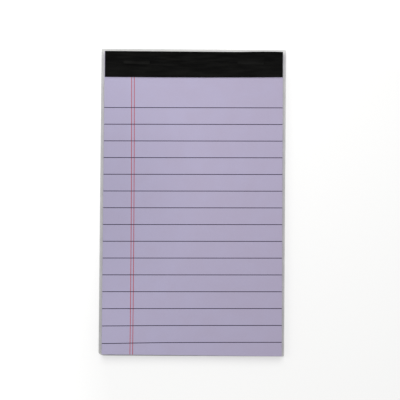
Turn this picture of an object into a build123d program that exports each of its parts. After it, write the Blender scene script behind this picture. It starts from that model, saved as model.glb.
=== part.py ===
from build123d import *
from math import atan, degrees
import os

# Tear-off memo pad: ruled sheets stapled and taped at the head, carried on a stiff board.
# Sizes are in millimetres. +X runs to the right across the writing face, +Y from the foot to the
# bound head, and +Z up out of the writing face. The origin is the middle of the board's underside.

# Backing board. Its right side leans in towards the foot, and its left corner at the foot is worn away.
board_width = 76.2
board_length = 126.1
board_thickness = 0.6
board_corner_radius = 0.5
board_lean_in = 0.35
worn_along_foot = 1.7
worn_along_side = 0.9

# Lips of bare board round the block, whose trim runs a little out of square
left_lip_at_head = 1.6
left_lip_at_foot = 1.5
right_lip_at_head = 1.55
right_lip_at_foot = 1.2
head_lip = 1.4
foot_lip_at_left = 0.85
foot_lip_at_right = 0.45

# Ruled sheets, which settle onto the board just below the tape
sheet_count = 30
sheet_thickness = 0.09
settle_length = 1.6

# Binding tape, folded round the head of the block. Its front flap is cut askew.
tape_thickness = 0.2
tape_front_flap_at_left = 10.75
tape_front_flap_at_right = 10.35
tape_back_flap = 9.4
tape_fold_radius = 0.5
tape_short_at_left = 0.15

# Staples of flattened wire: the crown lies on the top sheet, and the tails are clinched inwards
# behind the last sheet
wire_width = 0.5
wire_thickness = 0.4
wire_edge_break = 0.1
wire_clearance = 0.04
staple_crown = 10.4
staple_tail = 3.6
staple_bend_radius = 0.5
staple_spacing = 46.7
left_staple_from_head = 4.75
right_staple_from_head = 4.6
crown_sink = 0.15
ridge_flare = 0.45

# Perforation row: one line of fine slits through every sheet, along the edge of the tape
slit_length = 1.7
slit_width = 0.05
slit_tie = 0.6
slit_row_below_tape = 0.5

# Cuts and cutting shapes run past their piece by this much
overrun = 1.0

# Places worked out from the sizes above
foot_left_y = foot_lip_at_left - board_length / 2
foot_right_y = foot_lip_at_right - board_length / 2
fold_y = board_length / 2 - head_lip
head_y = fold_y - tape_thickness
left_x = left_lip_at_head - board_width / 2
right_x = board_width / 2 - right_lip_at_head
foot_left_x = left_lip_at_foot - board_width / 2
foot_right_x = board_width / 2 - board_lean_in - right_lip_at_foot
front_left_y = fold_y - tape_front_flap_at_left
front_right_y = fold_y - tape_front_flap_at_right
front_slope = (front_right_y - front_left_y) / (right_x - left_x)
back_edge_y = fold_y - tape_back_flap
taped_bottom = board_thickness + tape_thickness
block_thickness = sheet_count * sheet_thickness
block_top = board_thickness + block_thickness
flap_top = block_top + tape_thickness
crown_z = block_top - crown_sink + wire_thickness / 2
tail_z = taped_bottom + wire_thickness / 2
left_staple_y = fold_y - left_staple_from_head
right_staple_y = fold_y - right_staple_from_head


# The upright prism that the trimmed outline of the sheets encloses
def trimmed_prism():
    outline = Polyline(
        (foot_left_x, foot_left_y),
        (foot_right_x, foot_right_y),
        (right_x, fold_y),
        (left_x, fold_y),
        close=True,
    )
    return extrude(make_face(outline), flap_top)


# Any section carried along the bent wire of one staple, which is centred on X and Y zero
def along_wire(section):
    half = (staple_crown - wire_thickness) / 2
    tail_end = half - staple_tail
    route = FilletPolyline(
        (-tail_end, 0, tail_z),
        (-half, 0, tail_z),
        (-half, 0, crown_z),
        (half, 0, crown_z),
        (half, 0, tail_z),
        (tail_end, 0, tail_z),
        radius=staple_bend_radius,
    )
    start = Plane(route @ 0, x_dir=(0, 1, 0), z_dir=route % 0)
    return sweep(start * section, path=route)


# The channel that the wire presses and pierces, clear of the wire by the clearance
def wire_channel():
    across = wire_width + 2 * wire_clearance
    through = wire_thickness + 2 * wire_clearance
    return along_wire(Rectangle(across, through))


# The same shape at the place of each staple
def at_both_staples(shape):
    middle_x = (left_x + right_x) / 2
    left = Pos(middle_x - staple_spacing / 2, left_staple_y, 0) * shape
    right = Pos(middle_x + staple_spacing / 2, right_staple_y, 0) * shape
    return [left, right]


# The worn corner is cut off first, so that all corners are then rounded alike
def make_backing_board():
    outline = Polyline(
        (-board_width / 2, worn_along_side - board_length / 2),
        (worn_along_foot - board_width / 2, -board_length / 2),
        (board_width / 2 - board_lean_in, -board_length / 2),
        (board_width / 2, board_length / 2),
        (-board_width / 2, board_length / 2),
        close=True,
    )
    face = make_face(outline)
    return extrude(fillet(face.vertices(), board_corner_radius), board_thickness)


# Seen from the side, the block lies flat on the board and steps up onto the tape's back flap. Its foot is
# left long here.
def block_side_face():
    uncut_y = -board_length / 2 - overrun
    outline = Polyline(
        (uncut_y, board_thickness),
        (back_edge_y - settle_length, board_thickness),
        (back_edge_y, taped_bottom),
        (head_y, taped_bottom),
        (head_y, block_top),
        (uncut_y, block_top),
        close=True,
    )
    face = make_face(outline)
    head_corners = face.vertices().filter_by_position(Axis.X, head_y, head_y)
    return Plane.YZ * fillet(head_corners, tape_fold_radius - tape_thickness)


# The row runs parallel to the edge of the tape's front flap
def perforation_slits():
    pitch = slit_length + slit_tie
    count = int((right_x - left_x - slit_tie) // pitch)
    first_x = -(count - 1) * pitch / 2
    middle_y = (front_left_y + front_right_y) / 2 - slit_row_below_tape
    middle = Pos((left_x + right_x) / 2, middle_y, board_thickness + block_thickness / 2)
    row = middle * Rot(0, 0, degrees(atan(front_slope)))
    slit = Box(slit_length, slit_width, block_thickness + overrun)
    return [row * Pos(first_x + i * pitch, 0, 0) * slit for i in range(count)]


def make_ruled_sheets():
    block = extrude(block_side_face(), board_width / 2, both=True)
    block = block & trimmed_prism()
    block = block - perforation_slits()
    return block - at_both_staples(wire_channel())


# Seen from the side, the tape is a squared U with rounded corners. Its front flap is left long here.
def tape_side_face():
    uncut_y = min(front_left_y, front_right_y) - overrun
    outline = Polyline(
        (back_edge_y, board_thickness),
        (fold_y, board_thickness),
        (fold_y, flap_top),
        (uncut_y, flap_top),
        (uncut_y, block_top),
        (head_y, block_top),
        (head_y, taped_bottom),
        (back_edge_y, taped_bottom),
        close=True,
    )
    face = make_face(outline)
    outer_corners = face.vertices().filter_by_position(Axis.X, fold_y, fold_y)
    face = fillet(outer_corners, tape_fold_radius)
    inner_corners = face.vertices().filter_by_position(Axis.X, head_y, head_y)
    return Plane.YZ * fillet(inner_corners, tape_fold_radius - tape_thickness)


# The part of the tape that stands over one crown, before its flanks are softened
def crown_ridge():
    across = wire_width + 2 * tape_thickness
    through = wire_thickness + 2 * tape_thickness
    cover = along_wire(RectangleRounded(across, through, tape_thickness + wire_edge_break))
    above_flap = Box(staple_crown + overrun, across + overrun, wire_thickness)
    return cover & Pos(0, 0, flap_top - crown_sink + wire_thickness / 2) * above_flap


# What is cut off the front flap, from its edge to well past the foot end of the uncut flap
def front_flap_waste():
    waste_length = tape_front_flap_at_left
    outline = Polyline(
        (left_x, front_left_y),
        (right_x, front_right_y),
        (right_x, front_right_y - waste_length),
        (left_x, front_left_y - waste_length),
        close=True,
    )
    return Pos(0, 0, block_top - overrun) * extrude(make_face(outline), flap_top + overrun)


def make_binding_tape():
    tape_left_x = left_x + tape_short_at_left
    tape = Pos(tape_left_x, 0, 0) * extrude(tape_side_face(), right_x - tape_left_x)
    tape = tape - front_flap_waste()
    plain_edges = tape.edges()
    tape = tape + at_both_staples(crown_ridge())
    seams = tape.edges().filter_by_position(Axis.Z, flap_top, flap_top) - plain_edges
    tape = fillet(seams, ridge_flare)
    return tape - at_both_staples(wire_channel())


def make_wire_staples():
    section = chamfer(Rectangle(wire_width, wire_thickness).vertices(), wire_edge_break)
    return Compound(children=at_both_staples(along_wire(section)))


pieces = {
    "backing_board": make_backing_board(),
    "ruled_sheets": make_ruled_sheets(),
    "binding_tape": make_binding_tape(),
    "wire_staples": make_wire_staples(),
}

os.makedirs("parts", exist_ok=True)
for name, piece in pieces.items():
    export_step(piece, f"parts/{name}.step")
    print(name, round(piece.volume, 3), "mm3", "valid" if piece.is_valid else "not valid")
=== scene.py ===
# %% [markdown]
# Finishing a tear-off memo pad in Blender.
# The pad lies on its back: thirty ruled lilac sheets, held at the head by two wire staples and a folded
# black paper tape, on a back of grey chipboard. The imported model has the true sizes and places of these
# four parts, so it is loaded first as a fixed frame, and nothing in it is moved. The lesson then makes what
# the frame leaves plain: sheets that can be told apart at their edges, ink, paper, tape and board.

# %% Load the frame
import math
import random

import bmesh
import bpy
from mathutils import Matrix, Vector


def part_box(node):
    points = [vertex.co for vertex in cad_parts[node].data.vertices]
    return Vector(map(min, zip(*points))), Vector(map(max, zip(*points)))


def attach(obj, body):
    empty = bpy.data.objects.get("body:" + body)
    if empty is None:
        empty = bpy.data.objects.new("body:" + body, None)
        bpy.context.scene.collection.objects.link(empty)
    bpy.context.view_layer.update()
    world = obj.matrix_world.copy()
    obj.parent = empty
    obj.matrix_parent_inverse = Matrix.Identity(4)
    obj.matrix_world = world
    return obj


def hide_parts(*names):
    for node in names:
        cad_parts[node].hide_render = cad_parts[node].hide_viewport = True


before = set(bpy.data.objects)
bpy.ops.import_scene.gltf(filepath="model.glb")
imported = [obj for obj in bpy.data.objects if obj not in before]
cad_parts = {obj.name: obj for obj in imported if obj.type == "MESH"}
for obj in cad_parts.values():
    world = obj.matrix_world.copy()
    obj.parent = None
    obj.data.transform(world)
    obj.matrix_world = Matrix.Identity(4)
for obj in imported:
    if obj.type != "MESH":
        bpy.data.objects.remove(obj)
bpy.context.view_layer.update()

print("parts in the frame:", sorted(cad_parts))

# %% [markdown]
# The camera comes first, because every later choice is judged through it. The photograph looks straight down
# on the pad, so the camera hangs over it. Its height, its place and its small tilts were worked out from the
# pad's four edges and from the spacing of the ruled lines. The pad lies turned by a third of a degree in the
# view. The frame can't be turned, so the camera is turned about the pad the other way.

# %% Hang the camera
mm = 0.001
view_from = Vector((-0.35 * mm, -10.88 * mm, 400 * mm))
view_tilt_x = math.radians(1.674)
view_tilt_y = math.radians(-0.476)
view_roll = math.radians(0.059)
pad_turn = math.radians(0.32)
lens_length = 87.5
film_width = 36

bpy.ops.object.camera_add(
    location=Matrix.Rotation(pad_turn, 3, "Z") @ view_from,
    rotation=(view_tilt_x, view_tilt_y, view_roll + pad_turn),
)
camera = bpy.context.object
camera.name = "overhead_camera"
camera.data.lens = lens_length
camera.data.sensor_width = film_width
camera.data.clip_start = 10 * mm
bpy.context.scene.camera = camera
bpy.context.scene.view_settings.view_transform = "Standard"
print("camera height in mm:", round(camera.location.z / mm, 1))

# %% [markdown]
# A finish in Blender is a small graph of nodes. The same few steps come back in each one, so they get short
# helpers: a colour given as it looks on a screen, a new finish, a node with its settings, grain of a chosen
# size, and two colours laid over each other. Grain is measured in metres on the piece, through its Object
# coordinates, so that it stays the same size on every piece and doesn't slide when the view changes.

# %% Helpers for finishes
def screen_colour(red, green, blue):
    """A colour as it looks on a screen, 0 to 255, as the linear colour that shaders take."""
    linear = []
    for level in (red, green, blue):
        share = level / 255
        linear.append(share / 12.92 if share <= 0.04045 else ((share + 0.055) / 1.055) ** 2.4)
    return (*linear, 1.0)


def new_finish(name):
    finish = bpy.data.materials.new(name)
    finish.use_nodes = True
    return finish, finish.node_tree, finish.node_tree.nodes["Principled BSDF"]


def add_node(tree, kind, inputs=None, **settings):
    node = tree.nodes.new(kind)
    for name, value in settings.items():
        setattr(node, name, value)
    for name, value in (inputs or {}).items():
        if isinstance(value, bpy.types.NodeSocket):
            tree.links.new(value, node.inputs[name])
        else:
            node.inputs[name].default_value = value
    return node


def add_grain(tree, across, stretch=(1, 1, 1), detail=2):
    """Noise from 0 to 1 with grains about this size, drawn out along each axis by its stretch."""
    place = add_node(tree, "ShaderNodeTexCoord")
    fine = [1 / (across * longer) for longer in stretch]
    lay = add_node(tree, "ShaderNodeMapping", {"Vector": place.outputs["Object"], "Scale": fine})
    noise = add_node(tree, "ShaderNodeTexNoise", {"Vector": lay.outputs[0], "Scale": 1.0, "Detail": detail})
    return noise.outputs["Fac"]


def spread(tree, value, low, high, to_low=0.0, to_high=1.0):
    """Stretches low to high of a value over to_low to to_high, and holds it there outside them."""
    inputs = {"Value": value, "From Min": low, "From Max": high, "To Min": to_low, "To Max": to_high}
    return add_node(tree, "ShaderNodeMapRange", inputs).outputs[0]


def lay_over(tree, share, below, above, blend="MIX"):
    """The colour below with the colour above laid over it by that share."""
    mix = add_node(tree, "ShaderNodeMix", data_type="RGBA", blend_type=blend)
    for socket, value in ((mix.inputs[0], share), (mix.inputs[6], below), (mix.inputs[7], above)):
        if isinstance(value, bpy.types.NodeSocket):
            tree.links.new(value, socket)
        else:
            socket.default_value = value
    return mix.outputs[2]


def roughen(tree, surface, height, depth, strength=1.0):
    """Gives the surface hills as deep as this many metres, where height goes from 0 to 1."""
    bump = add_node(tree, "ShaderNodeBump", {"Height": height, "Distance": depth, "Strength": strength})
    tree.links.new(bump.outputs[0], surface.inputs["Normal"])


print("a mid grey of 128 is", round(screen_colour(128, 128, 128)[0], 3), "in linear light")

# %% [markdown]
# The pad lies in soft light that comes from its head. So the lip of board at the foot lies in shade, the lip
# at the head is the brightest, and the light falls off slowly from head to foot. One large lamp beyond the
# head does that. Two weak spot lamps leave soft pools of light on the head and on the page, and a weak lamp
# at the left draws the faint shade along the right side. They are set so that a surface facing up shows about
# its own colour.

# %% Lamps
window_place = Vector((-0.015, 0.24, 0.34))
window_side = 0.26
window_watts = 0.80
side_lamp_place = Vector((-0.32, 0.02, 0.32))
side_lamp_side = 0.12
side_lamp_watts = 0.24
pool_lamp_lift = Vector((-0.026, 0.12, 0.36))
pool_lamp_radius = 0.05
pools = {
    "head_lamp": (Vector((0.004, 0.05, 0)), 0.052, 0.7),
    "page_lamp": (Vector((-0.008, -0.022, 0)), 0.042, 0.25),
}


def hang_lamp(name, kind, place, towards, watts):
    """Hangs a lamp at a place, turned towards a direction, and gives back what sets its size."""
    bpy.ops.object.light_add(type=kind, location=place)
    lamp = bpy.context.object
    lamp.name = name
    lamp.rotation_euler = towards.to_track_quat("-Z", "Y").to_euler()
    lamp.data.energy = watts
    return lamp.data


window_lamp = hang_lamp("window_lamp", "AREA", window_place, -window_place, window_watts)
window_lamp.shape = "SQUARE"
window_lamp.size = window_side

for name, (middle, reach, watts) in pools.items():
    pool_lamp = hang_lamp(name, "SPOT", middle + pool_lamp_lift, -pool_lamp_lift, watts)
    pool_lamp.spot_size = 2 * math.atan(reach / pool_lamp_lift.length)
    pool_lamp.spot_blend = 1.0
    pool_lamp.shadow_soft_size = pool_lamp_radius

side_lamp = hang_lamp("side_lamp", "AREA", side_lamp_place, -side_lamp_place, side_lamp_watts)
side_lamp.shape = "SQUARE"
side_lamp.size = side_lamp_side
print("window lamp", round(window_place.length, 2), "m away,", window_watts, "W, and", len(pools), "pools")

# %% [markdown]
# A pale sky fills the shade. It has two strengths: a low one for the light that it sends to the pad, and one
# of 1, which is white, for what the eye sees of it. The Light Path node tells the two kinds of ray apart.

# %% Sky
sky_level = 0.555
sky = bpy.data.worlds.new("pale_sky")
sky.use_nodes = True
bpy.context.scene.world = sky
sky_tree = sky.node_tree
sky_colour = sky_tree.nodes["Background"]
sky_colour.inputs["Color"].default_value = (1, 1, 1, 1)


def seen_directly(tree):
    """1 for what the camera sees itself, or in a mirror or through glass, and 0 for light on its way."""
    path = add_node(tree, "ShaderNodeLightPath")
    mirrored = add_node(tree, "ShaderNodeMath", operation="MAXIMUM")
    tree.links.new(path.outputs["Is Glossy Ray"], mirrored.inputs[0])
    tree.links.new(path.outputs["Is Transmission Ray"], mirrored.inputs[1])
    seen = add_node(tree, "ShaderNodeMath", operation="MAXIMUM")
    tree.links.new(path.outputs["Is Camera Ray"], seen.inputs[0])
    tree.links.new(mirrored.outputs[0], seen.inputs[1])
    return seen.outputs[0]


sky_strength = spread(sky_tree, seen_directly(sky_tree), 0, 1, sky_level, 1.0)
sky_tree.links.new(sky_strength, sky_colour.inputs["Strength"])
print("sky level", sky_level, "and 1 where it is seen")

# %% [markdown]
# The table is a plain plane, not part of the pad. It has a pale grey colour, and
# glows a little for the eye alone. The glow is least around a place right of the foot and grows to full white
# away from it, so the table is white in the picture and still keeps the soft shade beside the pad. It lies a
# hair above the underside of the board, so that the two never lie in one plane, where they would flicker.

# %% Table
table_reach = 1.5
table_grey = screen_colour(197, 197, 196)
table_glow = 0.45
table_lift = 0.002 * mm
dullest_place = Vector((0.075, -0.055, 0))
fade_from = 0.11
fade_to = 0.25

bpy.ops.mesh.primitive_plane_add(size=2 * table_reach, location=(0, 0, table_lift))
table = bpy.context.object
table.name = "table"

table_white, tree, surface = new_finish("table_white")
surface.inputs["Base Color"].default_value = table_grey
surface.inputs["Roughness"].default_value = 0.9
surface.inputs["Specular IOR Level"].default_value = 0.0
table_place = add_node(tree, "ShaderNodeTexCoord")
inputs = {0: table_place.outputs["Object"], 1: dullest_place}
from_dullest = add_node(tree, "ShaderNodeVectorMath", inputs, operation="DISTANCE")
glow = spread(tree, from_dullest.outputs["Value"], fade_from, fade_to, table_glow, 1.0)
shown_glow = add_node(tree, "ShaderNodeMath", {0: glow, 1: seen_directly(tree)}, operation="MULTIPLY")
surface.inputs["Emission Color"].default_value = (1, 1, 1, 1)
tree.links.new(shown_glow.outputs[0], surface.inputs["Emission Strength"])
table.data.materials.append(table_white)
print("table glow", table_glow, "near the foot, and 1 from", fade_to, "m on")

# %% [markdown]
# Next come helpers for modelling as by hand. A primitive is added, its place is put into its mesh, and it is
# shaped in edit mode. There an operator acts on all that is selected, so one helper selects faces by a rule
# about their middle and their normal, one selects edges, and another cuts what is selected along a plane.
# Paper and board also bend and wear a little. That is done with a Displace modifier, whose vertex group says
# which share of the way each point goes.

# %% Helpers for modelling
weld = 1e-8


def take_alone(piece):
    if bpy.context.mode != "OBJECT":
        bpy.ops.object.mode_set(mode="OBJECT")
    bpy.ops.object.select_all(action="DESELECT")
    piece.select_set(True)
    bpy.context.view_layer.objects.active = piece


def put_place_in_mesh(piece):
    take_alone(piece)
    bpy.ops.object.transform_apply(location=True, rotation=True, scale=True)


def open_for_shaping(piece, by="FACE"):
    take_alone(piece)
    bpy.ops.object.mode_set(mode="EDIT")
    bpy.ops.mesh.select_mode(type=by)


def close_after_shaping():
    bpy.ops.object.mode_set(mode="OBJECT")


def pick_faces(piece, wanted):
    """In edit mode, selects only the faces for which wanted(middle, normal) holds, and counts them."""
    bpy.ops.mesh.select_all(action="DESELECT")
    mesh = bmesh.from_edit_mesh(piece.data)
    chosen = [face for face in mesh.faces if wanted(face.calc_center_median(), face.normal)]
    for face in chosen:
        face.select_set(True)
    bmesh.update_edit_mesh(piece.data)
    return len(chosen)


def pick_edges(piece, wanted):
    """In edit mode, selects only the edges for which wanted(one end, other end) holds, and counts them."""
    bpy.ops.mesh.select_all(action="DESELECT")
    mesh = bmesh.from_edit_mesh(piece.data)
    chosen = [edge for edge in mesh.edges if wanted(edge.verts[0].co, edge.verts[1].co)]
    for edge in chosen:
        edge.select_set(True)
    bmesh.update_edit_mesh(piece.data)
    return len(chosen)


def cut(through, facing, drop_far_side=False, close=False):
    """Cuts what is selected along the plane through a point that faces a way."""
    bpy.ops.mesh.bisect(
        plane_co=through,
        plane_no=facing,
        clear_outer=drop_far_side,
        use_fill=close,
        threshold=weld,
    )


def duplicate_piece(piece, name):
    take_alone(piece)
    bpy.ops.object.duplicate()
    copy = bpy.context.object
    copy.name = name
    copy.data.name = name
    return copy


def apply_modifier(piece, kind, name, **settings):
    take_alone(piece)
    modifier = piece.modifiers.new(name, kind)
    for setting, value in settings.items():
        setattr(modifier, setting, value)
    bpy.ops.object.modifier_apply(modifier=name)


def push_points(piece, name, weight, direction, way):
    """Moves the points of a piece along X, Y or Z, each by its share, weight(place), of the whole way."""
    group = piece.vertex_groups.new(name=name)
    for vertex in piece.data.vertices:
        group.add([vertex.index], weight(vertex.co), "REPLACE")
    settings = {"direction": direction, "vertex_group": name, "mid_level": 0.0, "strength": way}
    apply_modifier(piece, "DISPLACE", name, **settings)
    piece.vertex_groups.clear()


def belongs_to_pad(piece, stands_for):
    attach(piece, "root")
    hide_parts(stands_for)


print("points closer than", weld / mm, "mm are merged by a cut")

# %% [markdown]
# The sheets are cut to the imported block. Its foot is a little wider than its head, because the trim runs out
# of square, so the four corners are read from the block's own points. So are the two staples' places, and the
# perforation: its slits are the only corners on top of the block near the edge of the tape, and the row runs
# from the first to the last of them.

# %% Read the block, the staples and the perforation from the frame
block_low, block_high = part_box("ruled_sheets")
tape_low, tape_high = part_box("binding_tape")
board_low, board_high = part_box("backing_board")
close_enough = 0.01 * mm


def points_of(node):
    return [vertex.co.copy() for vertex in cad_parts[node].data.vertices]


def box_around(points):
    low = Vector([min(point[axis] for point in points) for axis in range(3)])
    high = Vector([max(point[axis] for point in points) for axis in range(3)])
    return low, high


block_points = points_of("ruled_sheets")
foot_band = 2 * mm
foot_points = [point for point in block_points if point.y - block_low.y < foot_band]
head_points = [point for point in block_points if block_high.y - point.y < close_enough]
foot_left = min(foot_points, key=lambda point: point.x).xy.to_3d()
foot_right = max(foot_points, key=lambda point: point.x).xy.to_3d()
head_left = min(head_points, key=lambda point: point.x).xy.to_3d()
head_right = max(head_points, key=lambda point: point.x).xy.to_3d()
print("trimmed width in mm: head", round((head_right - head_left).length / mm, 2),
      "foot", round((foot_right - foot_left).length / mm, 2))

staple_points = points_of("wire_staples")
staple_boxes = []
for side in (-1, 1):
    staple_boxes.append(box_around([point for point in staple_points if point.x * side > 0]))
    print("staple box in mm", [[round(c / mm, 2) for c in corner] for corner in staple_boxes[-1]])

tear_zone = 2 * mm
slit_corners = sorted(
    (
        point.xy.to_3d()
        for point in block_points
        if block_high.z - point.z < close_enough and abs(point.y - tape_low.y) < tear_zone
    ),
    key=lambda point: point.x,
)


def middle_of(points):
    low, high = box_around(points)
    return (low + high) / 2


slit_end = 0.2 * mm
row_start = middle_of([corner for corner in slit_corners if corner.x < slit_corners[0].x + slit_end])
row_end = middle_of([corner for corner in slit_corners if corner.x > slit_corners[-1].x - slit_end])
row_way = (row_end - row_start).normalized()
row_across = Vector((-row_way.y, row_way.x, 0))
row_half_width = max(abs((corner - row_start).dot(row_across)) for corner in slit_corners)
slit_ends = []
for corner in slit_corners:
    along = (corner - row_start).dot(row_way)
    if not slit_ends or along - slit_ends[-1] > close_enough:
        slit_ends.append(along)
print(len(slit_ends) // 2, "slits,", round(2 * row_half_width / mm, 3), "mm wide")

# %% [markdown]
# Every sheet starts as one blank. A plane a little too large is trimmed on four sides, as a guillotine trims
# it, along lines through the four corners that were read.

# %% Trim one blank sheet
waste = 2 * mm

bpy.ops.mesh.primitive_plane_add(size=1, location=((block_low + block_high) / 2).xy.to_3d())
blank = bpy.context.object
blank.name = "blank_sheet"
blank.scale = (block_high.x - block_low.x + waste, block_high.y - block_low.y + waste, 1)
put_place_in_mesh(blank)
open_for_shaping(blank)

for start, end in (
    (foot_left, foot_right),
    (foot_right, head_right),
    (head_right, head_left),
    (head_left, foot_left),
):
    outwards = (end - start).cross(Vector((0, 0, 1))).normalized()
    bpy.ops.mesh.select_all(action="SELECT")
    cut(start, outwards, drop_far_side=True)
print("sides of the blank in mm:", [round(side / mm, 2) for side in (block_high - block_low).xy])

# %% [markdown]
# The perforation is made by cutting a narrow strip across the sheet, cutting that strip at each slit's two
# ends, and deleting the small faces between them. Cutting only the strip keeps the rest of the sheet in a few
# large faces, which is why it was chosen over a fine grid. The sheet also gets a line where the tape's back
# flap ends below it, for it has to step up there.

# %% Open the perforation
wire_thickness = 0.4 * mm
tear_band = 0.6 * mm
low_tape_points = [point for point in points_of("binding_tape") if point.z < block_low.z + wire_thickness]
back_flap_edge = min(point.y for point in low_tape_points)
for through, facing in (
    (Vector((0, back_flap_edge, 0)), Vector((0, 1, 0))),
    (row_start - tear_band * row_across, row_across),
    (row_start - row_half_width * row_across, row_across),
    (row_start + row_half_width * row_across, row_across),
):
    bpy.ops.mesh.select_all(action="SELECT")
    cut(through, facing)


def in_tear_row(middle, normal):
    return abs((middle - row_start).dot(row_across)) < row_half_width


def in_slit(middle, normal):
    along = (middle - row_start).dot(row_way)
    ends_passed = sum(end < along for end in slit_ends)
    return in_tear_row(middle, normal) and ends_passed % 2 == 1


for end in slit_ends:
    pick_faces(blank, in_tear_row)
    cut(row_start + end * row_way, row_way)
print("slits opened:", pick_faces(blank, in_slit))
bpy.ops.mesh.delete(type="FACE")

# %% [markdown]
# The holes for the staples' legs are made the same way: a band across the head of the sheet is cut at each
# staple, and that band is cut again at the sides of each leg and tail. All sheets get these cuts. Which of
# the small faces are taken out depends on how deep a sheet lies, so that is left to a function for later.

# %% Cut the ways of the wire
hole_clearance = 0.04 * mm
staple_tail = 3.6 * mm

leg_ways = []
for low, high in staple_boxes:
    band_low = low.y - hole_clearance
    band_high = high.y + hole_clearance
    places = {
        "left leg": (low.x - hole_clearance, low.x + wire_thickness + hole_clearance),
        "right leg": (high.x - wire_thickness - hole_clearance, high.x + hole_clearance),
        "left tail": (low.x, low.x + staple_tail + hole_clearance),
        "right tail": (high.x - staple_tail - hole_clearance, high.x),
    }
    leg_ways.append((band_low, band_high, places))
    for y in (band_low, band_high):
        pick_faces(blank, lambda middle, normal: middle.y > back_flap_edge)
        cut(Vector((0, y, 0)), Vector((0, 1, 0)))
    for x in (*places["left leg"], places["left tail"][1], places["right tail"][0], *places["right leg"]):
        pick_faces(blank, lambda middle, normal: band_low < middle.y < band_high)
        cut(Vector((x, 0, 0)), Vector((1, 0, 0)))


def open_wire_ways(sheet, crown=False, tails=False):
    """Opens the holes of the four legs, and also the grooves of the crowns or of the tails."""
    open_for_shaping(sheet)

    def in_the_way(middle, normal):
        for band_low, band_high, places in leg_ways:
            if band_low < middle.y < band_high:
                ways = [places["left leg"], places["right leg"]]
                if crown:
                    ways.append((places["left leg"][0], places["right leg"][1]))
                if tails:
                    ways += [places["left tail"], places["right tail"]]
                if any(low < middle.x < high for low, high in ways):
                    return True
        return False

    pick_faces(sheet, in_the_way)
    bpy.ops.mesh.delete(type="FACE")
    close_after_shaping()


close_after_shaping()
print("faces of the blank:", len(blank.data.polygons))

# %% [markdown]
# The top sheet carries the print. Fine lines would blur away as a picture or a pattern on so large a sheet,
# so each line is a strip of the sheet's own faces, cut along its two edges and given an ink of its own. Where
# a rule crosses the margin, both inks lie on each other, and that small face gets a darker one. The print
# lies slightly askew on the sheet, as it does on a cheap pad.

# %% Rule the top sheet
rule_count = 15
rule_pitch = 6.832 * mm
first_rule = 38.51 * mm
rule_width = 0.3 * mm
rule_askew = pad_turn
margin_places = (-25.27 * mm, -24.19 * mm)
margin_width = 0.29 * mm
margin_askew = math.radians(0.14)

rule_way = Vector((math.cos(rule_askew), math.sin(rule_askew), 0))
rule_across = Vector((-rule_way.y, rule_way.x, 0))
margin_across = Vector((math.cos(margin_askew), math.sin(margin_askew), 0))
rules = [first_rule - number * rule_pitch for number in range(rule_count)]

top_sheet = duplicate_piece(blank, "top_sheet")
open_for_shaping(top_sheet)
for rule in rules:
    for edge in (rule - rule_width / 2, rule + rule_width / 2):
        bpy.ops.mesh.select_all(action="SELECT")
        cut(edge * rule_across, rule_across)
for margin in margin_places:
    for edge in (margin - margin_width / 2, margin + margin_width / 2):
        pick_faces(top_sheet, lambda middle, normal: middle.y < tape_low.y + tear_zone)
        cut(edge * margin_across, margin_across)

# %% [markdown]
# Paper doesn't lie dead flat. The sheets at the top lift a little at the left corner of the foot, where a
# thumb picks them up. Paper only curls along straight lines, so the lift grows with the distance past a
# diagonal fold line, and the sheets need a few cuts there to bend at.

# %% Cuts for the curl
curl_reach = 22 * mm
bend_shares = (0.07, 0.16, 0.27, 0.4, 0.55, 0.75, 1.0, 1.4, 1.9)


def cut_for_bending(sheet):
    open_for_shaping(sheet)
    for share in bend_shares:
        for facing in (Vector((1, 0, 0)), Vector((0, 1, 0))):
            pick_faces(sheet, lambda middle, normal: middle.y < row_start.y - tear_band)
            cut(foot_left + share * curl_reach * facing, facing)
    close_after_shaping()


def curl_weight(place):
    past_corner = ((place.x - foot_left.x) + (place.y - foot_left.y)) / math.sqrt(2)
    return max(0.0, min(1.0, 1 - past_corner / curl_reach)) ** 2


print("the curl starts", curl_reach / mm, "mm from the corner and is cut at", len(bend_shares), "places")

# %% [markdown]
# The printed lines aren't quite straight. The margin bows a little to the right halfway down, and the last
# rules sag towards the left corner of the foot. The sheet's outline stays straight there, so only the points
# of the lines are moved.

# %% Bow of the margin and sag of the last rules
margin_bow = 0.18 * mm


def margin_bow_weight(place):
    """1 on the margin lines halfway down the sheet, and 0 at their two ends and away from them."""
    across = place.dot(margin_across)
    if not margin_places[0] - margin_width < across < margin_places[1] + margin_width:
        return 0.0
    along = (place.y - foot_left.y) / (row_start.y - foot_left.y)
    return max(0.0, 1 - (2 * along - 1) ** 2)


sag = 0.49 * mm
sag_reach = 18 * mm
sag_shares = {rule_count - 1: 1.0, rule_count - 2: 0.47, rule_count - 3: 0.13}


def sag_weight(place):
    """How far a point sags: all the way on the last rule at the left edge, less on the two rules above."""
    height = place.dot(rule_across)
    number = round((first_rule - height) / rule_pitch)
    if number not in sag_shares or abs(rules[number] - height) > rule_width:
        return 0.0
    return sag_shares[number] / (1 + ((place.x - foot_left.x) / sag_reach) ** 2)


print("margin bows by", round(margin_bow / mm, 2), "mm, last rule sags by", round(sag / mm, 2), "mm")

# %% [markdown]
# Writing paper is dyed in the pulp, so its colour is even, with soft clouds where the fibres lie thicker and
# a fine grain of single fibres. The same recipe serves the bare paper and the three inks, because ink sinks
# into the fibres and keeps their grain: only the colour changes. Paper is matt, and its grain is a few
# hundredths of a millimetre deep, which a bump shows well enough. The left side is a little darker, as painted
# shade, by the distance from a place beside the pad.

# %% Paper
def along_pad(tree, axis, low, high):
    """0 where a place on the pad reaches low along the axis, and 1 where it reaches high."""
    place = add_node(tree, "ShaderNodeTexCoord")
    parts = add_node(tree, "ShaderNodeSeparateXYZ", {"Vector": place.outputs["Object"]})
    return spread(tree, parts.outputs[axis], low, high)


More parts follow.
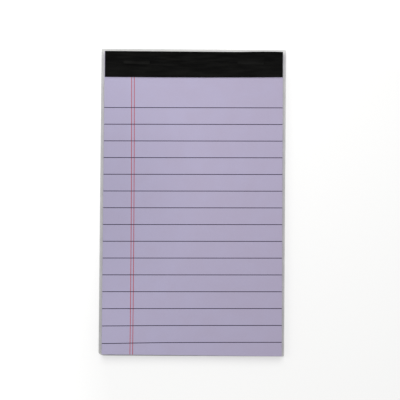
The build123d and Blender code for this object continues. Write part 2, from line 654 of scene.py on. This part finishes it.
fibre_size = 0.22 * mm
cloud_size = 7 * mm
paper_relief = 0.012 * mm
# Painted shade: the left side of the sheet is darkened by the distance from this place beside the pad.
left_shade_place = Vector((block_low.x - 12 * mm, 5 * mm, block_high.z))
left_shade_reach = (16 * mm, 52 * mm)
left_shade_depth = 0.25


def left_shade_share(tree):
    """How much painted shade darkens a place on the sheet towards its left side."""
    place = add_node(tree, "ShaderNodeTexCoord")
    inputs = {0: place.outputs["Object"], 1: left_shade_place}
    away = add_node(tree, "ShaderNodeVectorMath", inputs, operation="DISTANCE")
    return spread(tree, away.outputs["Value"], *left_shade_reach, left_shade_depth, 0.0)


def paper_finish(name, cool, warm):
    """Paper in two tints of one colour, warmer towards the right, which change places in soft clouds."""
    finish, tree, surface = new_finish(name)
    clouds = spread(tree, add_grain(tree, cloud_size, detail=3), 0.35, 0.65, -0.25, 0.25)
    fibres = add_grain(tree, fibre_size, stretch=(3, 1, 1), detail=3)
    inputs = {0: along_pad(tree, "X", block_low.x, block_high.x), 1: clouds}
    warmth = add_node(tree, "ShaderNodeMath", inputs, operation="ADD")
    tint = lay_over(tree, warmth.outputs[0], cool, warm)
    shade = spread(tree, fibres, 0.3, 0.7, 0.12, 0.0)
    grained = lay_over(tree, shade, tint, (0.7, 0.7, 0.72, 1), blend="MULTIPLY")
    # Painted shade towards the left side of the sheet.
    left_shaded = lay_over(tree, left_shade_share(tree), grained, (0.6, 0.6, 0.6, 1), blend="MULTIPLY")
    tree.links.new(left_shaded, surface.inputs["Base Color"])
    tree.links.new(spread(tree, fibres, 0.3, 0.7, 0.92, 0.78), surface.inputs["Roughness"])
    surface.inputs["Specular IOR Level"].default_value = 0.25
    roughen(tree, surface, fibres, paper_relief)
    return finish


print("fibres of the paper in mm:", round(fibre_size / mm, 2), "and its clouds:", round(cloud_size / mm, 2))

# %% [markdown]
# Now the strips of the top sheet get their inks. The faces are picked by their place, in the order bare
# paper, rules, margin, crossings, so that each later ink takes its faces from the one before.

# %% Ink the top sheet
inks = [
    # The warmer lilac at the right is also a little darker: painted shade at the right side of the page.
    paper_finish("lilac_paper", screen_colour(177, 171, 198), screen_colour(175, 167, 192)),
    paper_finish("slate_rule", screen_colour(30, 26, 52), screen_colour(36, 28, 54)),
    paper_finish("rose_margin", screen_colour(178, 78, 87), screen_colour(181, 79, 85)),
    paper_finish("maroon_crossing", screen_colour(78, 26, 52), screen_colour(82, 28, 52)),
]
bare, ruled, margined, crossed = range(4)
for ink in inks:
    top_sheet.data.materials.append(ink)


def on_rule(middle):
    height = middle.dot(rule_across)
    return any(abs(height - rule) < rule_width / 2 for rule in rules)


def on_margin(middle):
    place = middle.dot(margin_across)
    below_tape = middle.y < tape_low.y + tear_zone
    return below_tape and any(abs(place - margin) < margin_width / 2 for margin in margin_places)


open_for_shaping(top_sheet)
for ink, wanted in (
    (bare, lambda middle, normal: True),
    (ruled, lambda middle, normal: on_rule(middle)),
    (margined, lambda middle, normal: on_margin(middle)),
    (crossed, lambda middle, normal: on_rule(middle) and on_margin(middle)),
):
    print(inks[ink].name, "faces:", pick_faces(top_sheet, wanted))
    top_sheet.active_material_index = ink
    bpy.ops.object.material_slot_assign()
close_after_shaping()

cut_for_bending(top_sheet)
push_points(top_sheet, "bow", margin_bow_weight, "X", margin_bow)
push_points(top_sheet, "sag", sag_weight, "Y", -sag)
print("faces of the top sheet:", len(top_sheet.data.polygons))

# %% [markdown]
# A pad's block is its sheets, so the stack is built from them. The blank is made once and copied. The back
# flap of the tape lies under the head of the block and the staples squeeze it, so each sheet steps up at the
# flap's edge, the lowest the most. A guillotine cuts all sheets at once, but they slip a little on each other
# afterwards: each is shifted by a few hundredths of a millimetre, with a fixed seed, and never by more than
# the staples leave free.

# %% Stack the sheets
sheet_count = 30
taped_low = min(point.z for point in block_points if point.y > back_flap_edge + close_enough)
open_pitch = (block_high.z - block_low.z) / sheet_count
squeezed_pitch = (block_high.z - taped_low) / sheet_count
paper_share = 0.93
sheet_thickness = paper_share * squeezed_pitch
slip = 0.03 * mm
lift_shares_from_top = (1.0, 0.72, 0.5, 0.3, 0.14)
lift_shares = {sheet_count - 1 - depth: share for depth, share in enumerate(lift_shares_from_top)}
corner_lift = 0.38 * mm
crown_depth = 0.15 * mm
crown_sheets = math.ceil(crown_depth / squeezed_pitch)
tail_sheets = math.ceil(wire_thickness / squeezed_pitch)
slips = random.Random(30)

bending_blank = duplicate_piece(blank, "bending_sheet")
cut_for_bending(bending_blank)


def finish_sheet(sheet, number):
    """Gives a flat sheet its holes and thickness, and puts it at its number in the stack."""
    open_wire_ways(sheet, crown=number >= sheet_count - crown_sheets, tails=number < tail_sheets)
    apply_modifier(sheet, "SOLIDIFY", "thickness", thickness=sheet_thickness, offset=1.0)
    if number in lift_shares:
        push_points(sheet, "curl", curl_weight, "Z", corner_lift * lift_shares[number])
    low_z = block_low.z + number * open_pitch
    step_up = taped_low + number * squeezed_pitch - low_z
    shift = Vector((slips.uniform(-slip, slip), slips.uniform(-slip, slip), low_z))
    open_for_shaping(sheet)
    bpy.ops.mesh.select_all(action="SELECT")
    bpy.ops.transform.translate(value=shift)
    pick_faces(sheet, lambda middle, normal: middle.y > back_flap_edge + slip)
    bpy.ops.transform.translate(value=(0, 0, step_up))
    close_after_shaping()
    take_alone(sheet)
    bpy.ops.object.shade_smooth_by_angle(angle=math.radians(30))


print("sheets", round(sheet_thickness / mm, 3), "mm thick,", round(open_pitch / mm, 3), "mm apart")

# %% [markdown]
# The sheets that lift get the blank with the cuts for bending, and all others the plain one. The lower
# sheets look alike and never move apart, so they are joined into one piece, with one mesh. The top sheet
# stays a piece of its own, because it carries the print.

# %% Fill the stack
lower_sheets = []
for number in range(sheet_count - 1):
    source = bending_blank if number in lift_shares else blank
    sheet = duplicate_piece(source, f"sheet_{number + 1:02d}")
    sheet.data.materials.append(inks[bare])
    finish_sheet(sheet, number)
    lower_sheets.append(sheet)
finish_sheet(top_sheet, sheet_count - 1)

take_alone(lower_sheets[0])
for sheet in lower_sheets:
    sheet.select_set(True)
bpy.ops.object.join()
lower_stack = bpy.context.object
lower_stack.name = "lower_sheets"
for spare in (blank, bending_blank):
    bpy.data.objects.remove(spare)
belongs_to_pad(lower_stack, "ruled_sheets")
belongs_to_pad(top_sheet, "ruled_sheets")
print("stack from", round(min(v.co.z for v in lower_stack.data.vertices) / mm, 3),
      "to", round(max(v.co.z for v in top_sheet.data.vertices) / mm, 3), "mm")

# %% [markdown]
# Chipboard is pressed from grey waste paper. It shows soft clouds, short dark and pale fibres, and no gloss.
# The cut edge is a little darker and shows the layers it was pressed from. Painted shade darkens the board from
# its worn corner at the foot up along its left side: it is mixed with a dull grey there, by a distance that
# counts less along the pad than across it. Its head edge and its right lip get a paler grey, as painted light.

# %% Chipboard
board_cloud_size = 5 * mm
fleck_size = 0.3 * mm
fuzz_size = 0.12 * mm
board_relief = 0.02 * mm
# Painted shade: the board is darkened from its worn corner at the foot up along its left side.
board_shade_reach = 75 * mm
board_shade_share = 0.17
board_shade_closeness = Vector((1, 0.45, 1))
# Painted light: a paler grey on the head edge and on the right lip beside the sheets.
painted_light_head = 2 * mm
painted_light_lip = 0.2 * mm
painted_light_sides = (
    ("Y", board_high.y - painted_light_head, board_high.y, 0.45),
    ("X", block_high.x - painted_light_lip, block_high.x + painted_light_lip, 0.13),
)
edge_shade = 0.93


def from_worn_corner(tree):
    """How far a place on the board is from its worn corner, where the way along the pad counts less."""
    place = add_node(tree, "ShaderNodeTexCoord")
    inputs = {0: place.outputs["Object"], 1: board_low}
    way = add_node(tree, "ShaderNodeVectorMath", inputs, operation="SUBTRACT")
    inputs = {0: way.outputs[0], 1: board_shade_closeness}
    counted_way = add_node(tree, "ShaderNodeVectorMath", inputs, operation="MULTIPLY")
    length = add_node(tree, "ShaderNodeVectorMath", {0: counted_way.outputs[0]}, operation="LENGTH")
    return length.outputs["Value"]


def board_finish(name, shade, layered=False):
    """Grey board, darkened by the shade, with its fibres in layers at a cut edge."""
    finish, tree, surface = new_finish(name)
    fleck_stretch = (2.5, 2.5, 0.25) if layered else (2.5, 1, 1)
    fuzz_stretch = (3, 3, 0.6) if layered else (1, 1, 1)
    # Painted shade, strongest at the worn corner.
    board_shade = spread(tree, from_worn_corner(tree), 0, board_shade_reach, board_shade_share, 0.0)
    clouds = add_grain(tree, board_cloud_size, detail=4)
    flecks = add_grain(tree, fleck_size, stretch=fleck_stretch, detail=2)
    fuzz = add_grain(tree, fuzz_size, stretch=fuzz_stretch, detail=3)
    dull = screen_colour(197 * shade, 197 * shade, 196 * shade)
    light = screen_colour(206 * shade, 206 * shade, 205 * shade)
    tint = lay_over(tree, spread(tree, clouds, 0.35, 0.65), dull, light)
    dark = spread(tree, flecks, 0.62, 0.72, 0.0, 0.35)
    flecked = lay_over(tree, dark, tint, screen_colour(118 * shade, 117 * shade, 114 * shade))
    pale = spread(tree, flecks, 0.36, 0.28, 0.0, 0.4)
    speckled = lay_over(tree, pale, flecked, screen_colour(230 * shade, 231 * shade, 231 * shade))
    # Painted shade: a dull grey laid over the board near its worn corner.
    worn = lay_over(tree, board_shade, speckled, screen_colour(120, 118, 114))
    # Painted light: the head edge and the right lip are made paler.
    for axis, low, high, share in painted_light_sides:
        painted_light = spread(tree, along_pad(tree, axis, low, high), 0, 1, 0.0, share)
        worn = lay_over(tree, painted_light, worn, screen_colour(250, 250, 248))
    tree.links.new(worn, surface.inputs["Base Color"])
    tree.links.new(spread(tree, fuzz, 0.3, 0.7, 0.95, 0.82), surface.inputs["Roughness"])
    surface.inputs["Specular IOR Level"].default_value = 0.2
    roughen(tree, surface, fuzz, board_relief)
    return finish


print("soil reaches", round(board_shade_reach / board_shade_closeness.y / mm), "mm up the left side")

# %% [markdown]
# The board starts as a cube a little too wide and too long, as a sheet of chipboard does, and is cut to size
# on its four sides. Its right side leans in towards the foot, and its left corner at the foot has been worn
# off in use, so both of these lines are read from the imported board: its corners are rounded, and the two
# neighbouring points that lie farthest apart are the ends of a straight side between two of them.

# %% Cut the board
board_points = points_of("backing_board")
corner_reach = 3 * mm


def ends_of_straight(points, axis):
    """The two neighbours along the axis that lie farthest apart, flat on the table."""
    row = sorted((point.xy.to_3d() for point in points), key=lambda point: point[axis])
    return max(zip(row, row[1:]), key=lambda pair: pair[1][axis] - pair[0][axis])


right_foot, right_head = ends_of_straight([point for point in board_points if point.x > 0], 1)
near_worn_corner = [
    point
    for point in board_points
    if point.x < board_low.x + corner_reach and point.y < board_low.y + corner_reach
]
worn_side, worn_foot = ends_of_straight(near_worn_corner, 0)
print("right side leans in by", round((right_head.x - right_foot.x) / mm, 2), "mm, worn corner",
      round((worn_foot - worn_side).length / mm, 2), "mm")

bpy.ops.mesh.primitive_cube_add(size=1, location=(board_low + board_high) / 2)
board = bpy.context.object
board.name = "board"
board.scale = board_high - board_low + Vector((waste, waste, 0))
put_place_in_mesh(board)
open_for_shaping(board)
for through, facing in (
    (board_low, Vector((-1, 0, 0))),
    (board_low, Vector((0, -1, 0))),
    (board_high, Vector((0, 1, 0))),
    (right_foot, (right_head - right_foot).cross(Vector((0, 0, 1))).normalized()),
    (worn_foot, (worn_foot - worn_side).cross(Vector((0, 0, 1))).normalized()),
):
    bpy.ops.mesh.select_all(action="SELECT")
    cut(through, facing, drop_far_side=True, close=True)
close_after_shaping()

# %% [markdown]
# The upright edges of the board are rounded with a bevel, and a small second bevel softens the rims, which
# the blade presses down. At the worn corner the board has also been pressed thin. Its top gets a few cuts
# there and is pushed down, most at the corner itself. Only edges that turn by less than 20 degrees are shaded
# round, so that the broad faces stay flat up to their rims.

# %% Round the board and wear its corner
corner_radius = 0.5 * mm
rim = 0.05 * mm
wear_reach = 3.6 * mm
wear_depth = 0.16 * mm
wear_cut_count = 3
flat_on_top = 0.5
steep_side = 0.4
round_below = math.radians(20)


def upright(one, other):
    return abs(one.z - other.z) > (board_high.z - board_low.z) / 2


def on_a_rim(one, other):
    return abs(one.z - other.z) < close_enough


open_for_shaping(board, by="EDGE")
print("upright edges:", pick_edges(board, upright))
bpy.ops.mesh.bevel(offset=corner_radius, segments=5, affect="EDGES")
print("rim edges:", pick_edges(board, on_a_rim))
bpy.ops.mesh.bevel(offset=rim, segments=2, affect="EDGES")
for step in range(1, wear_cut_count + 1):
    for facing in (Vector((1, 0, 0)), Vector((0, 1, 0))):
        open_for_shaping(board)
        pick_faces(board, lambda middle, normal: normal.z > flat_on_top)
        cut(board_low + wear_reach * step / wear_cut_count * facing, facing)
close_after_shaping()


def wear_weight(place):
    past_corner = (place.xy - board_low.xy).length
    top_share = (place.z - board_low.z) / (board_high.z - board_low.z)
    return top_share * max(0.0, 1 - past_corner / wear_reach)


push_points(board, "wear", wear_weight, "Z", -wear_depth)

board.data.materials.append(board_finish("grey_chipboard", 1.0))
board.data.materials.append(board_finish("chipboard_edge", edge_shade, layered=True))
open_for_shaping(board)
print("faces on the cut edge:", pick_faces(board, lambda middle, normal: abs(normal.z) < steep_side))
board.active_material_index = 1
bpy.ops.object.material_slot_assign()
close_after_shaping()
take_alone(board)
bpy.ops.object.shade_smooth_by_angle(angle=round_below)
belongs_to_pad(board, "backing_board")

# %% [markdown]
# The tape is black bookbinder's paper with a fine grain that runs across the head. Handling has rubbed it a
# little greyer in streaks along the grain, and it is also a little greyer towards the page. The same recipe in
# a lighter pair of blacks serves the tops of the ridges over the staples, which rub most and also carry a
# painted highlight.

# %% Black tape paper
streak_size = 0.8 * mm
tape_grain_size = 0.12 * mm
tape_relief = 0.01 * mm


def tape_finish(name, dark, light):
    finish, tree, surface = new_finish(name)
    streaks = spread(tree, add_grain(tree, streak_size, stretch=(9, 1, 1), detail=3), 0.38, 0.68, 0.0, 0.75)
    grain = add_grain(tree, tape_grain_size, stretch=(3, 1, 1), detail=2)
    # A little greyer towards the page, and none at the head.
    greyer_to_page = spread(tree, along_pad(tree, "Y", tape_low.y, tape_high.y), 0, 1, 0.35, 0.0)
    greyed = add_node(tree, "ShaderNodeMath", {0: streaks, 1: greyer_to_page}, operation="ADD")
    black = lay_over(tree, greyed.outputs[0], dark, light)
    tree.links.new(black, surface.inputs["Base Color"])
    tree.links.new(spread(tree, grain, 0.3, 0.7, 0.85, 0.65), surface.inputs["Roughness"])
    surface.inputs["Specular IOR Level"].default_value = 0.03
    roughen(tree, surface, grain, tape_relief)
    return finish


print("tape streaks in mm:", round(streak_size / mm, 2), "and its grain:", round(tape_grain_size / mm, 2))

# %% [markdown]
# The tape starts as a plane that is its front flap. Its head edge is turned down over the block with a spin,
# drawn out to the height of the block, turned under with a second spin, and drawn out again to the length of
# the back flap. That is how the real tape is folded, and it keeps the paper's length the same at each turn.

# %% Fold the tape
tape_thickness = 0.2 * mm
fold_radius = 0.3 * mm
fold_steps = 5
flap_z = block_high.z
fold_y = block_high.y - fold_radius
quarter_turn = math.radians(90)

flap_low = tape_low.y - waste
flap_middle = Vector(((tape_low.x + tape_high.x) / 2, (flap_low + fold_y) / 2, flap_z))
bpy.ops.mesh.primitive_plane_add(size=1, location=flap_middle)
tape = bpy.context.object
tape.name = "tape"
tape.scale = (tape_high.x - tape_low.x, fold_y - flap_low, 1)
put_place_in_mesh(tape)


def pick_tape_end(reached):
    """Selects the edge of the tape that has got as far as that point."""

    def has_reached(end):
        return abs(end.y - reached.y) + abs(end.z - reached.z) < close_enough

    open_for_shaping(tape, by="EDGE")
    chosen = pick_edges(tape, lambda one, other: has_reached(one) and has_reached(other))
    print("edges to draw on from:", chosen)


def turn_down(centre_z):
    """Draws the picked edge on by a quarter turn, around a line across the head at that height."""
    centre = (0, fold_y, centre_z)
    bpy.ops.mesh.spin(steps=fold_steps, angle=quarter_turn, center=centre, axis=(1, 0, 0))


def draw_on(way):
    bpy.ops.mesh.extrude_region_move(TRANSFORM_OT_translate={"value": way})


pick_tape_end(Vector((0, fold_y, flap_z)))
turn_down(flap_z - fold_radius)
pick_tape_end(Vector((0, block_high.y, flap_z - fold_radius)))
draw_on((0, 0, taped_low - flap_z + 2 * fold_radius))
pick_tape_end(Vector((0, block_high.y, taped_low + fold_radius)))
turn_down(taped_low + fold_radius)
pick_tape_end(Vector((0, fold_y, taped_low)))
draw_on((0, back_flap_edge - fold_y, 0))
bpy.ops.mesh.select_all(action="SELECT")
bpy.ops.mesh.remove_doubles(threshold=close_enough / 10)
bpy.ops.mesh.normals_make_consistent(inside=False)
close_after_shaping()

# %% [markdown]
# The front edge of the tape is cut a little askew, through the two corners that are read from the packed
# tape. A spin can leave a strip inside out, so the front flap is also checked to face up before it gets
# thickness.

# %% Cut the front edge of the tape
front_points = [point for point in points_of("binding_tape") if point.z > flap_z - close_enough]
front_left = min(front_points, key=lambda point: point.x + point.y).xy.to_3d()
front_right = max(front_points, key=lambda point: point.x - point.y).xy.to_3d()
front_way = (front_right - front_left).normalized()


def on_front_flap(middle, normal):
    return middle.z > flap_z - close_enough


open_for_shaping(tape)
pick_faces(tape, on_front_flap)
cut(front_left, Vector((front_way.y, -front_way.x, 0)), drop_far_side=True)
flap_faces = bmesh.from_edit_mesh(tape.data).faces
facing_up = sum(face.normal.z for face in flap_faces if on_front_flap(face.calc_center_median(), face.normal))
if facing_up < 0:
    bpy.ops.mesh.select_all(action="SELECT")
    bpy.ops.mesh.flip_normals()
close_after_shaping()
print("folded tape, faces:", len(tape.data.polygons))

# %% [markdown]
# The crown of a staple can't sink wholly into the paper, so it stands up under the tape as a low ridge. The
# flap is cut into fine faces around each crown, and each point there is lifted by how near the crown it is.
# The cuts lie closest together where the slope changes most.

# %% Cut the flap around the crowns
ridge_cuts = (0.0, 0.12, 0.25, 0.4, 0.55, 0.75, 0.95)
ridge_reach = ridge_cuts[-1] * mm
crown_shrink = 0.12 * mm
crown_low = [Vector((low.x, low.y, 0)) for low, high in staple_boxes]
crown_high = [Vector((high.x, high.y, 0)) for low, high in staple_boxes]
ridge_rise = max(high.z for low, high in staple_boxes) - flap_z
span_count = 24
span = (tape_high.x - tape_low.x) / span_count

open_for_shaping(tape)
for step in range(1, span_count):
    bpy.ops.mesh.select_all(action="SELECT")
    cut(Vector((tape_low.x + span * step, 0, 0)), Vector((1, 0, 0)))


def beside_crown(middle, low, high):
    return low.x - ridge_reach < middle.x < high.x + ridge_reach


for low, high in zip(crown_low, crown_high):
    for axis, facing in ((0, Vector((1, 0, 0))), (1, Vector((0, 1, 0)))):
        for offset in ridge_cuts[::-1]:
            for line in (low - offset * mm * facing, high + offset * mm * facing):
                pick_faces(
                    tape,
                    lambda middle, normal: on_front_flap(middle, normal)
                    and (axis == 0 or beside_crown(middle, low, high)),
                )
                cut(line, facing)
close_after_shaping()
print("ridges rise by", round(ridge_rise / mm, 2), "mm, faces of the tape:", len(tape.data.polygons))

# %% [markdown]
# Three small moves give the tape its true shape. The crowns lift it into ridges. Its front edge bows a
# little, as an edge does that is cut by hand. And the fold stands off the sheets near its right end, where it
# wasn't pulled tight. The cuts from edge to edge of the tape are what the last two bend at.

# %% Raise the ridges, bow the edge and loosen the fold
ridge_fullness = 1.12


def ridge_weight(place):
    """1 over a crown, and less down the flanks of its ridge."""
    if abs(place.z - flap_z) > close_enough:
        return 0.0
    share = 0.0
    for low, high in zip(crown_low, crown_high):
        away_x = max(low.x + crown_shrink - place.x, place.x - high.x + crown_shrink, 0)
        away_y = max(low.y - place.y, place.y - high.y, 0)
        near = max(0.0, 1 - math.hypot(away_x, away_y) / ridge_reach)
        share = max(share, near * near * (3 - 2 * near))
    return min(1.0, ridge_fullness * share)


edge_bow = 0.17 * mm


def bow_weight(place):
    """1 at the middle of the front edge, and 0 at its two ends and away from it."""
    along = (place - front_left).xy.to_3d().dot(front_way) / (front_right - front_left).length
    from_edge = abs((place - front_left).xy.to_3d().cross(front_way).z)
    if abs(place.z - flap_z) > close_enough or from_edge > close_enough:
        return 0.0
    return max(0.0, 1 - (2 * along - 1) ** 2)


loose_place = tape_high.x - 6 * mm
loose_reach = 14 * mm
loose_by = 0.24 * mm


def loose_weight(place):
    """1 on the fold and the spine where the fold stands off most, and less towards both sides of it."""
    if place.y < fold_y - close_enough or place.z < taped_low + fold_radius - close_enough:
        return 0.0
    return max(0.0, 1 - ((place.x - loose_place) / loose_reach) ** 2) ** 2


push_points(tape, "loose fold", loose_weight, "Y", loose_by)
push_points(tape, "ridges", ridge_weight, "Z", ridge_rise)
push_points(tape, "bow", bow_weight, "Y", -edge_bow)
print("front edge bows by", round(edge_bow / mm, 2), "mm, fold stands off by", round(loose_by / mm, 2), "mm")

# %% [markdown]
# The tape gets its two blacks, and its thickness last. Solidify adds it to the outside, since the folded
# sheet so far is the side that lies on the paper.

# %% Finish the tape
ridge_top_share = 0.9
tape.data.materials.append(tape_finish("black_tape", screen_colour(4, 4, 4), screen_colour(18, 18, 17)))
# The lighter blacks on the ridge tops are rubbed paper and also a painted highlight.
tape.data.materials.append(tape_finish("rubbed_highlit_tape", screen_colour(12, 12, 11), screen_colour(27, 27, 26)))


def on_ridge_top(middle, normal):
    return on_front_flap(middle, normal) and middle.z > flap_z + ridge_top_share * ridge_rise


open_for_shaping(tape)
print("rubbed faces:", pick_faces(tape, on_ridge_top))
tape.active_material_index = 1
bpy.ops.object.material_slot_assign()
close_after_shaping()
apply_modifier(tape, "SOLIDIFY", "thickness", thickness=tape_thickness, offset=1.0, use_even_offset=True)
take_alone(tape)
bpy.ops.object.shade_smooth_by_angle(angle=math.radians(40))
belongs_to_pad(tape, "binding_tape")
print("tape in mm:", [round(1000 * side, 2) for side in tape.dimensions])

# %% [markdown]
# The staples are flattened steel wire, and drawing the wire leaves fine lines along it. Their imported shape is
# right as it is, so they keep it and only get a finish: steel in two close greys, in lines along the crown.

# %% Staples
drawn_line_size = 0.04 * mm
wire_relief = 0.004 * mm


def wire_finish(name):
    finish, tree, surface = new_finish(name)
    lines = add_grain(tree, drawn_line_size, stretch=(20, 1, 1), detail=2)
    dark = screen_colour(170, 170, 172)
    light = screen_colour(206, 206, 208)
    steel = lay_over(tree, spread(tree, lines, 0.3, 0.7), dark, light)
    tree.links.new(steel, surface.inputs["Base Color"])
    surface.inputs["Metallic"].default_value = 1.0
    tree.links.new(spread(tree, lines, 0.3, 0.7, 0.3, 0.45), surface.inputs["Roughness"])
    roughen(tree, surface, lines, wire_relief)
    return finish


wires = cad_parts["wire_staples"]
wires.data.materials.clear()
wires.data.materials.append(wire_finish("drawn_steel"))
print("points of the two staples:", len(staple_points))
